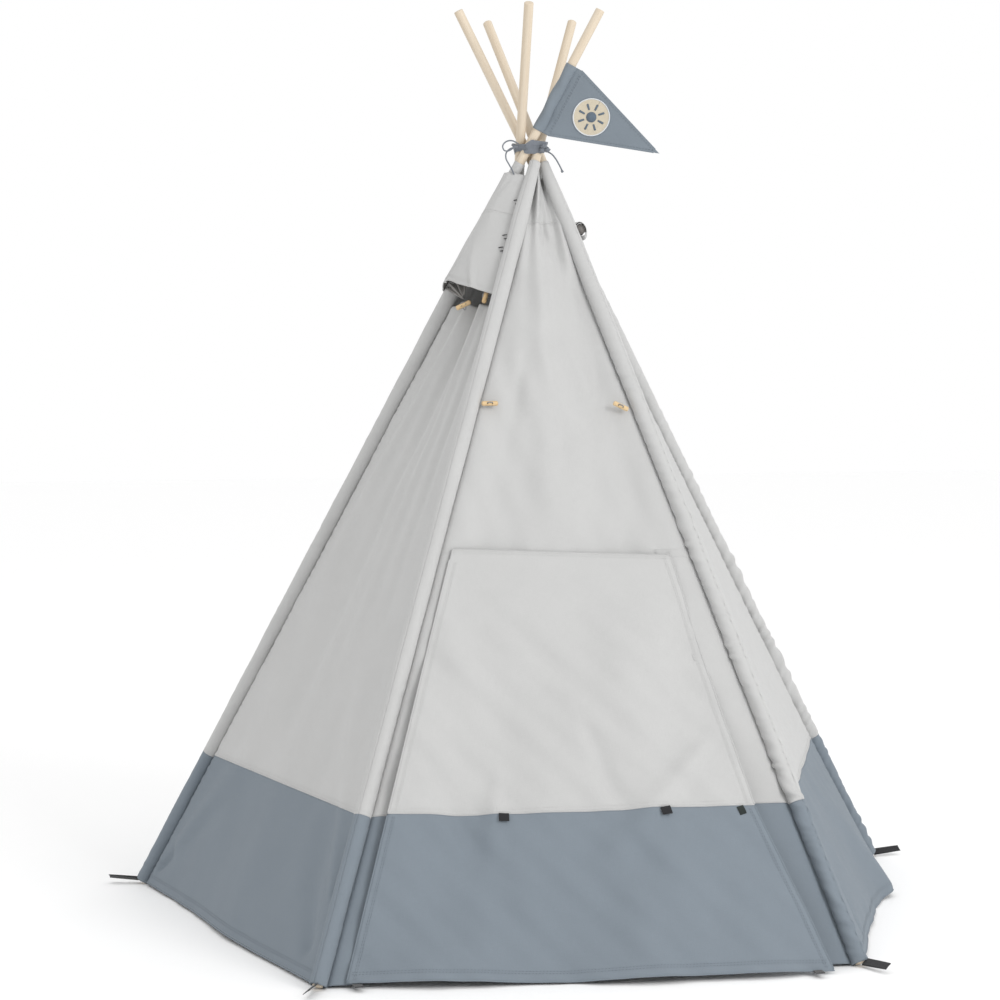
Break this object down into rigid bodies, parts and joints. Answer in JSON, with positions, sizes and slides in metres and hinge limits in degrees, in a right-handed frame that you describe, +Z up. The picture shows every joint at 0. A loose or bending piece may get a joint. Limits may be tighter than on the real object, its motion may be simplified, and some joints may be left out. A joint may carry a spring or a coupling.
{
  "type": "teepee tent",
  "caption": "Pole teepee play tent: jointed wooden poles tied near the top, a cloth cover with pole pockets, a lift-up door, vent hoods and a pennant.",
  "frame": {"origin": "on the ground at the middle of the outline, 86 mm further from the door than the centre of the ring of pole feet", "axes": "+Z up; the door faces -Y; +X to the right seen from the door side"},
  "size_m": [1.8592, 1.7683, 1.9326],
  "materials": {
    "pole_wood": "sanded, clear",
    "ferrule_metal": "satin",
    "toggle_wood": "sanded",
    "tie_ribbon": "woven ribbon",
    "slate_cloth": "woven canvas",
    "light_cloth": "woven canvas",
    "patch_cloth": "embroidered",
    "label_cloth": "woven tape",
    "black_webbing": "woven webbing"
  },
  "bodies": {
    "front_left_pole": {"front_left_pole_lower": "pole_wood", "front_left_pole_upper": "pole_wood", "front_left_ferrule": "ferrule_metal", "front_left_sleeve": "light_cloth", "front_left_sleeve_band": "slate_cloth", "front_left_peg_loop": "black_webbing", "front_peak": "light_cloth", "front_panel": "light_cloth", "front_strip_left": "light_cloth", "front_strip_right": "light_cloth", "front_band_left": "slate_cloth", "front_band_right": "slate_cloth", "tie_wrap": "tie_ribbon", "tie_tails": "tie_ribbon"},
    "front_right_pole": {"front_right_pole_lower": "pole_wood", "front_right_pole_upper": "pole_wood", "front_right_ferrule": "ferrule_metal", "front_right_sleeve": "light_cloth", "front_right_sleeve_band": "slate_cloth", "front_right_peg_loop": "black_webbing", "right_peak": "light_cloth", "right_panel": "light_cloth", "right_band": "slate_cloth"},
    "right_pole": {"right_pole_lower": "pole_wood", "right_pole_upper": "pole_wood", "right_ferrule": "ferrule_metal", "right_sleeve": "light_cloth", "right_sleeve_band": "slate_cloth", "right_peg_loop": "black_webbing", "rear_right_panel": "light_cloth", "rear_right_band": "slate_cloth"},
    "rear_pole": {"rear_pole_lower": "pole_wood", "rear_pole_upper": "pole_wood", "rear_ferrule": "ferrule_metal", "rear_sleeve": "light_cloth", "rear_sleeve_band": "slate_cloth", "rear_peg_loop": "black_webbing", "rear_left_panel": "light_cloth", "rear_left_band": "slate_cloth"},
    "left_pole": {"left_pole_lower": "pole_wood", "left_pole_upper": "pole_wood", "left_ferrule": "ferrule_metal", "left_sleeve": "light_cloth", "left_sleeve_band": "slate_cloth", "left_peg_loop": "black_webbing", "left_peak": "light_cloth", "left_panel": "light_cloth", "left_band": "slate_cloth"},
    "door": {"door_flap": "light_cloth", "door_band": "slate_cloth", "door_webbing_loops": "black_webbing", "door_label": "label_cloth"},
    "left_hood": {"left_vent_hood": "light_cloth"},
    "right_hood": {"right_vent_hood": "light_cloth"},
    "pennant": {"flag": "slate_cloth", "flag_patch": "patch_cloth"},
    "left_door_toggle_bar": {"left_door_toggle": "toggle_wood"},
    "right_door_toggle_bar": {"right_door_toggle": "toggle_wood"},
    "left_vent_toggle_bar": {"left_vent_toggle": "toggle_wood"},
    "front_vent_toggle_bar": {"front_vent_toggle": "toggle_wood"}
  },
  "joints": [
    {"name": "fold_left", "type": "hinge", "parent": "front_left_pole", "child": "left_pole", "pos_m": [0.00553, -0.10448, 1.63902], "axis": [-0.8758, -0.2611, 0.4059], "range_deg": [0, 24], "deforming": ["front_left_sleeve", "front_left_sleeve_band", "front_left_peg_loop", "front_peak", "front_panel", "front_strip_left", "front_strip_right", "front_band_left", "front_band_right", "tie_wrap", "tie_tails", "front_right_sleeve", "front_right_sleeve_band", "front_right_peg_loop", "right_peak", "right_panel", "right_band", "right_sleeve", "right_sleeve_band", "right_peg_loop", "rear_right_panel", "rear_right_band", "rear_sleeve", "rear_sleeve_band", "rear_peg_loop", "rear_left_panel", "rear_left_band", "left_sleeve", "left_sleeve_band", "left_peg_loop", "left_peak", "left_panel", "left_band", "door_flap", "door_band", "door_webbing_loops", "door_label", "left_vent_hood", "right_vent_hood", "flag", "flag_patch"]},
    {"name": "fold_front_right", "type": "hinge", "parent": "front_left_pole", "child": "front_right_pole", "pos_m": [0.01934, -0.08642, 1.63902], "axis": [0.0223, 0.9137, -0.4059], "range_deg": [0, 24]},
    {"name": "fold_rear", "type": "hinge", "parent": "left_pole", "child": "rear_pole", "pos_m": [-0.01592, -0.09692, 1.63902], "axis": [-0.519, 0.7523, 0.4059], "range_deg": [0, 24]},
    {"name": "fold_right", "type": "hinge", "parent": "front_right_pole", "child": "right_pole", "pos_m": [0.00642, -0.0677, 1.63902], "axis": [-0.862, 0.3036, -0.4059], "range_deg": [0, 24]},
    {"name": "door_lift", "type": "hinge", "parent": "front_left_pole", "child": "door", "pos_m": [0.00857, -0.46697, 0.79162], "axis": [-0.9997, -0.0227, 0], "range_deg": [0, 135]},
    {"name": "left_vent_hood_tilt", "type": "hinge", "parent": "left_pole", "child": "left_hood", "pos_m": [-0.07515, -0.12719, 1.47987], "axis": [-0.5049, 0.8632, 0], "range_deg": [-14, 30]},
    {"name": "right_vent_hood_tilt", "type": "hinge", "parent": "front_right_pole", "child": "right_hood", "pos_m": [0.07462, -0.09335, 1.475], "axis": [-0.0989, -0.9951, 0], "range_deg": [0, 60]},
    {"name": "pennant_swivel", "type": "hinge", "parent": "left_pole", "child": "pennant", "pos_m": [0.04728, -0.12591, 1.74445], "axis": [0.4539, -0.1598, 0.8766], "range_deg": [-100, 100]},
    {"name": "left_door_toggle_turn", "type": "hinge", "parent": "front_left_pole", "child": "left_door_toggle_bar", "pos_m": [-0.12846, -0.34868, 1.09046], "axis": [0, 1, 0], "range_deg": [-90, 90]},
    {"name": "right_door_toggle_turn", "type": "hinge", "parent": "front_right_pole", "child": "right_door_toggle_bar", "pos_m": [0.14938, -0.33905, 1.08246], "axis": [0.2109, 0.9775, 0], "range_deg": [-90, 90]},
    {"name": "left_vent_toggle_turn", "type": "hinge", "parent": "left_pole", "child": "left_vent_toggle_bar", "pos_m": [-0.15817, -0.16495, 1.29793], "axis": [0, 1, 0], "range_deg": [-90, 90]},
    {"name": "front_vent_toggle_turn", "type": "hinge", "parent": "front_left_pole", "child": "front_vent_toggle_bar", "pos_m": [-0.11653, -0.20973, 1.31646], "axis": [-0.7944, 0.6074, 0], "range_deg": [-90, 90]}
  ],
  "couplings": [
    {"joint": "fold_front_right", "follows": "fold_left", "ratio": 1},
    {"joint": "fold_rear", "follows": "fold_left", "ratio": 1},
    {"joint": "fold_right", "follows": "fold_left", "ratio": 1}
  ]
}
